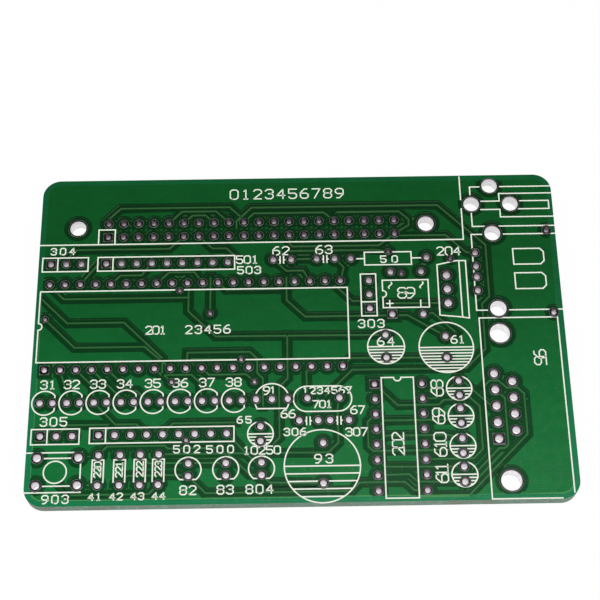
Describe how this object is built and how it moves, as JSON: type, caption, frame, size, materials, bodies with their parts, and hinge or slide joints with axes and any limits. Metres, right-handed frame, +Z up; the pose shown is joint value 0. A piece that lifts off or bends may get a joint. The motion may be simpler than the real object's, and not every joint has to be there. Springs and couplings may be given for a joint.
{
  "type": "bare printed circuit board",
  "caption": "Bare green circuit board for a USB control unit, drilled and tinned, with printed component outlines and no parts fitted.",
  "frame": {"origin": "centre of the board's underside", "axes": "+X along the board to the edge with the USB, power and D connector footprints, +Y to the edge with the long header, +Z up out of the printed side"},
  "size_m": [0.0868, 0.0578, 0.0024],
  "materials": {
    "laminate": "routed glass-epoxy edge",
    "copper": "rolled copper foil under the mask",
    "mask": "glossy green solder mask",
    "ink": "white screen-printed ink",
    "tin": "hot-air levelled tin on copper"
  },
  "bodies": {
    "root": {"laminate": "laminate", "copper_top": "copper", "copper_bottom": "copper", "mask_top": "mask", "mask_bottom": "mask", "outline_ink": "ink", "processor_pads": "tin", "header_pads": "tin", "driver_pads": "tin", "jumper_pads": "tin", "resistor_pack_pads": "tin", "resistor_pads": "tin", "lamp_pads": "tin", "indicator_pads": "tin", "ceramic_capacitor_pads": "tin", "electrolytic_capacitor_pads": "tin", "crystal_pads": "tin", "transistor_pads": "tin", "buzzer_pads": "tin", "bridge_pads": "tin", "regulator_pads": "tin", "switch_pads": "tin", "usb_contact_pads": "tin", "usb_shell_pads": "tin", "power_jack_pads": "tin", "d_contact_pads": "tin", "d_screw_pads": "tin", "fixing_pads": "tin", "edge_pads": "tin", "vias": "tin"}
  },
  "joints": []
}
